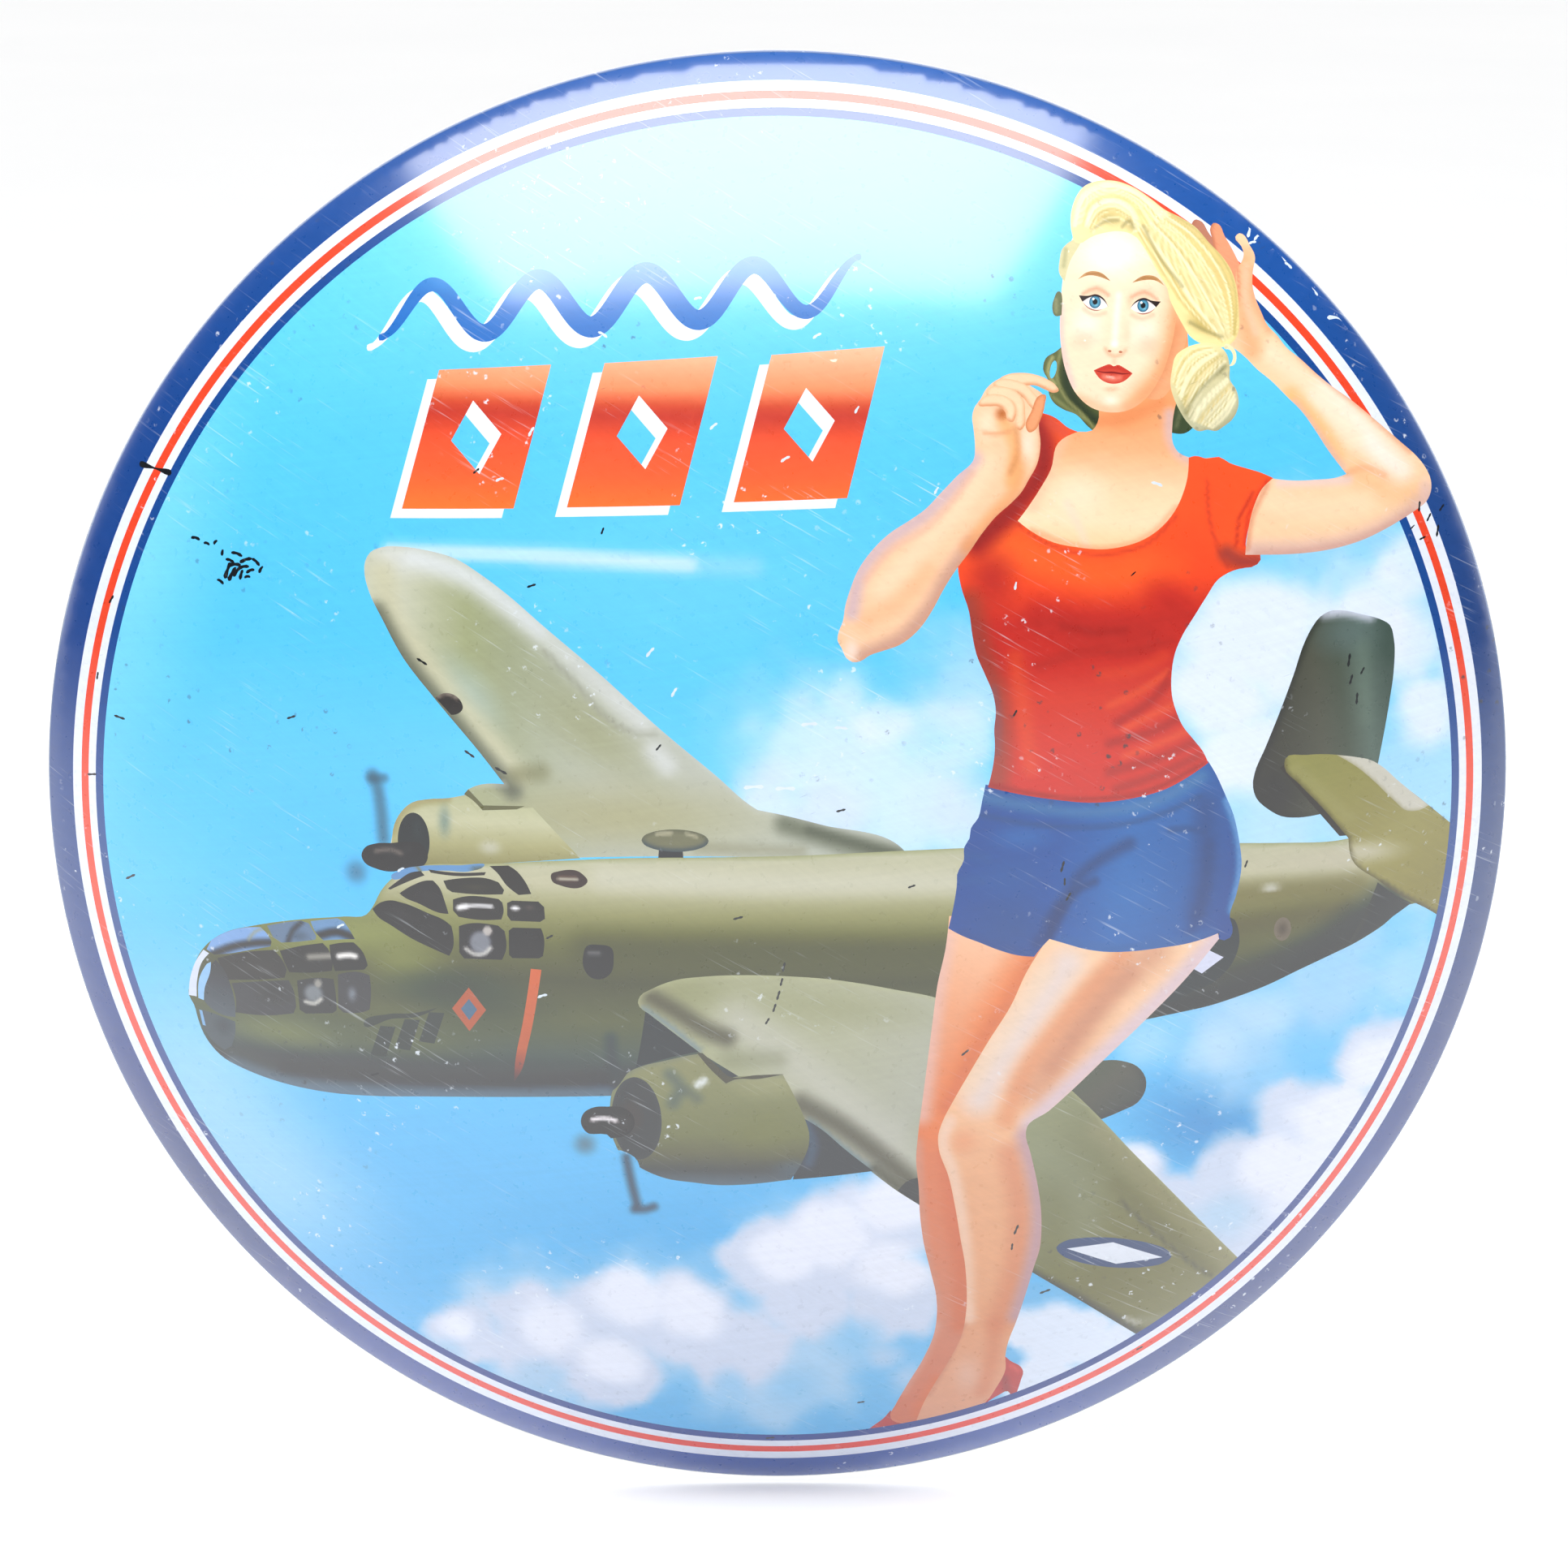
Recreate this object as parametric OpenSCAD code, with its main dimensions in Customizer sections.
// Domed round advertising sign: a pressed steel face with a turned-in rim flange, hung on the wall
// by a keyhole plate that is blind-riveted inside the flange, with four soft bumpers on its wall side.
// The pieces are laid out lying on the wall side (+Z out of the face) and hung() stands them up.

/* [Face] */
// Diameter over the rim
rim_d = 381; // [300:1:480]
// Thickness of the pressed steel sheet
sheet_t = 0.8; // [0.5:0.1:1.2]
// Radius of the shallow crown, at its front surface
crown_r = 400; // [340:5:600]
// Radial width of the steeper shoulder round the crown
shoulder_w = 46; // [30:1:60]
// Slope of the shoulder where it meets the rim, in degrees
rim_slope = 40; // [36:1:50]

/* [Rim flange] */
// Outer radius of the rim corner
corner_r = 1.5; // [1.3:0.1:2.5]
// Width of the turned-in flange, from the rim's outer edge
flange_w = 10; // [9:0.5:14]

/* [Hanger plate] */
// Width of the plate
plate_w = 44; // [38:1:60]
// Thickness of the plate
plate_t = 1.2; // [0.8:0.1:1.5]
// Rounding of the plate's lower corners
plate_corner_r = 5; // [2:1:8]
// Diameter of the keyhole's entry hole, which passes the screw head
keyhole_head_d = 10; // [8:0.5:12]
// Width of the keyhole's slot, which holds the screw shank
keyhole_slot_w = 5; // [4:0.5:6]
// Distance from the entry hole's centre to the slot's end centre
keyhole_travel = 13; // [10:1:18]
// Distance from the rim's edge down to the entry hole's centre
keyhole_drop = 40; // [36:1:60]
// Metal left below the entry hole
keyhole_margin = 8; // [5:1:15]

/* [Blind rivets] */
// Diameter of the rivet body
rivet_d = 3.2; // [2.4:0.1:3.6]
// Diameter of the rivet's domed head
rivet_head_d = 6; // [5:0.1:6.4]
// Height of the rivet's domed head
rivet_head_h = 1.1; // [0.8:0.1:1.3]
// Distance between the two rivets
rivet_spacing = 28; // [20:1:30]
// Diameter of the mandrel left in the rivet
mandrel_d = 1.8; // [1.4:0.1:1.9]
// Radial clearance between the rivets and their holes
rivet_clearance = 0.05; // [0.02:0.01:0.1]

/* [Wall bumpers] */
// Diameter of a bumper
bumper_d = 8; // [6:0.5:8.4]
// Height of a bumper
bumper_h = 2; // [1.6:0.1:3]
// Rounding of a bumper's edge
bumper_round = 0.6; // [0.2:0.1:0.8]

/* [Hidden] */

round_fn = 180;
small_fn = 48;
crown_steps = 18;
shoulder_steps = 16;
corner_steps = 14;
eps = 0.01;

// The face's profile is three arcs that run into each other: crown, shoulder and rim corner.
rim_r = rim_d / 2;
corner_x = rim_r - corner_r;
shoulder_end = corner_x + corner_r * sin(rim_slope);
crown_end = shoulder_end - shoulder_w;
crown_slope = asin(crown_end / crown_r);
shoulder_r = shoulder_w / (sin(rim_slope) - sin(crown_slope));
corner_z = corner_r;
shoulder_z = corner_z + (corner_r - shoulder_r) * cos(rim_slope);
shoulder_x = shoulder_end - shoulder_r * sin(rim_slope);
crown_z = shoulder_z + (shoulder_r - crown_r) * cos(crown_slope);
face_depth = crown_z + crown_r;

// The flange is flat from its inner edge to where the corner begins.
flange_inner_r = rim_r - flange_w;
flange_mid_r = (flange_inner_r + corner_x) / 2;

// The hanger plate lies on the flange's front side, and the rivets pass through both.
plate_edge_gap = 1.2;
plate_top_r = corner_x - plate_edge_gap;
keyhole_y = rim_r - keyhole_drop;
plate_bottom_y = keyhole_y - keyhole_head_d / 2 - keyhole_margin;
rivet_circle_r = flange_inner_r + rivet_head_d / 2;
rivet_x = rivet_spacing / 2;
rivet_y = sqrt(pow(rivet_circle_r, 2) - pow(rivet_x, 2));
grip = sheet_t + plate_t;
tail_d = 1.35 * rivet_d;
mandrel_head_d = 0.85 * rivet_d;
// The face slopes down to the rim, so a narrower flange leaves less height over the rivets.
tail_h = 0.16 * flange_w;
mandrel_head_h = 0.09 * flange_w;
mandrel_recess = 0.4;
mandrel_clearance = 0.02;

bumper_r = bumper_d / 2;
bumper_angles = [45, 135, 225, 315];

// Points on an arc about [x, z], after the one that it starts from, at slopes measured from level.
function arc_points(x, z, radius, from, to, steps) = [
    for (i = [1:steps])
        let (a = from + (to - from) * i / steps)
        [x + radius * sin(a), z + radius * cos(a)]
];

// The face's section from its apex to the end of the rim corner, at a depth below the front surface.
function face_line(depth) = concat(
    [[0, crown_z + crown_r - depth]],
    arc_points(0, crown_z, crown_r - depth, 0, crown_slope, crown_steps),
    arc_points(shoulder_x, shoulder_z, shoulder_r - depth, crown_slope, rim_slope, shoulder_steps),
    arc_points(corner_x, corner_z, corner_r - depth, rim_slope, 180, corner_steps)
);

function reversed(list) = [for (i = [len(list) - 1:-1:0]) list[i]];

module face_profile() {
    polygon(concat(
        face_line(0),
        [[flange_inner_r, 0], [flange_inner_r, sheet_t]],
        reversed(face_line(sheet_t))
    ));
}

// Stands the lying sign up, with its face towards -Y and the keyhole's entry hole at the origin.
module hung() {
    translate([0, sheet_t, -keyhole_y]) rotate([90, 0, 0]) children();
}

module at_rivet(side) {
    translate([side * rivet_x, rivet_y, 0]) children();
}

module rivet_holes() {
    for (side = [-1, 1])
        at_rivet(side) translate([0, 0, -grip])
            cylinder(r = rivet_d / 2 + rivet_clearance, h = 3 * grip, $fn = small_fn);
}

module face_shell() {
    color("royalblue") difference() {
        rotate_extrude($fn = round_fn) face_profile();
        rivet_holes();
    }
}

// The plate's outline: a tongue with round lower corners, cut to the flange's curve at the top.
module plate_outline() {
    intersection() {
        circle(r = plate_top_r, $fn = round_fn);
        union() {
            translate([-plate_w / 2, plate_bottom_y + plate_corner_r])
                square([plate_w, rim_r]);
            translate([-plate_w / 2 + plate_corner_r, plate_bottom_y])
                square([plate_w - 2 * plate_corner_r, 2 * plate_corner_r]);
            for (side = [-1, 1])
                translate([side * (plate_w / 2 - plate_corner_r), plate_bottom_y + plate_corner_r])
                    circle(r = plate_corner_r, $fn = small_fn);
        }
    }
}

module keyhole() {
    translate([0, keyhole_y, 0]) {
        cylinder(d = keyhole_head_d, h = 4 * plate_t, center = true, $fn = small_fn);
        translate([-keyhole_slot_w / 2, 0, -2 * plate_t])
            cube([keyhole_slot_w, keyhole_travel, 4 * plate_t]);
        translate([0, keyhole_travel, 0])
            cylinder(d = keyhole_slot_w, h = 4 * plate_t, center = true, $fn = small_fn);
    }
}

module hanger_plate() {
    color("silver") difference() {
        translate([0, 0, sheet_t]) linear_extrude(height = plate_t) plate_outline();
        translate([0, 0, sheet_t + plate_t / 2]) keyhole();
        rivet_holes();
    }
}

// A set blind rivet: domed head on the wall side, upset tail on the plate's side, hollow through.
module rivet_body(side) {
    dome_r = (pow(rivet_head_d / 2, 2) + pow(rivet_head_h, 2)) / (2 * rivet_head_h);
    color("gainsboro") at_rivet(side) difference() {
        union() {
            intersection() {
                translate([0, 0, dome_r - rivet_head_h]) sphere(r = dome_r, $fn = small_fn);
                translate([0, 0, -2 * rivet_head_h])
                    cylinder(d = 2 * rivet_head_d, h = 2 * rivet_head_h, $fn = small_fn);
            }
            translate([0, 0, -eps]) cylinder(d = rivet_d, h = grip + 2 * eps, $fn = small_fn);
            translate([0, 0, grip]) cylinder(d = tail_d, h = tail_h, $fn = small_fn);
        }
        translate([0, 0, -2 * rivet_head_h])
            cylinder(r = mandrel_d / 2 + mandrel_clearance, h = 4 * grip + 2 * tail_h, $fn = small_fn);
    }
}

// The mandrel that stays in the rivet, snapped off just inside its head.
module rivet_mandrel(side) {
    color("dimgray") at_rivet(side) {
        translate([0, 0, mandrel_recess - rivet_head_h])
            cylinder(d = mandrel_d, h = grip + tail_h + rivet_head_h - mandrel_recess + eps, $fn = small_fn);
        translate([0, 0, grip + tail_h]) cylinder(d = mandrel_head_d, h = mandrel_head_h, $fn = small_fn);
    }
}

module bumper(angle) {
    color("dimgray") rotate([0, 0, angle]) translate([flange_mid_r, 0, 0])
        rotate([180, 0, 0]) rotate_extrude($fn = small_fn) {
            square([bumper_r, bumper_h - bumper_round]);
            square([bumper_r - bumper_round, bumper_h]);
            translate([bumper_r - bumper_round, bumper_h - bumper_round]) circle(r = bumper_round, $fn = small_fn);
        }
}

hung() face_shell();
hung() hanger_plate();
hung() rivet_body(-1);  // rivet_body_left
hung() rivet_body(1);  // rivet_body_right
hung() rivet_mandrel(-1);  // rivet_mandrel_left
hung() rivet_mandrel(1);  // rivet_mandrel_right
hung() bumper(bumper_angles[0]);  // bumper_upper_right
hung() bumper(bumper_angles[1]);  // bumper_upper_left
hung() bumper(bumper_angles[2]);  // bumper_lower_left
hung() bumper(bumper_angles[3]);  // bumper_lower_right
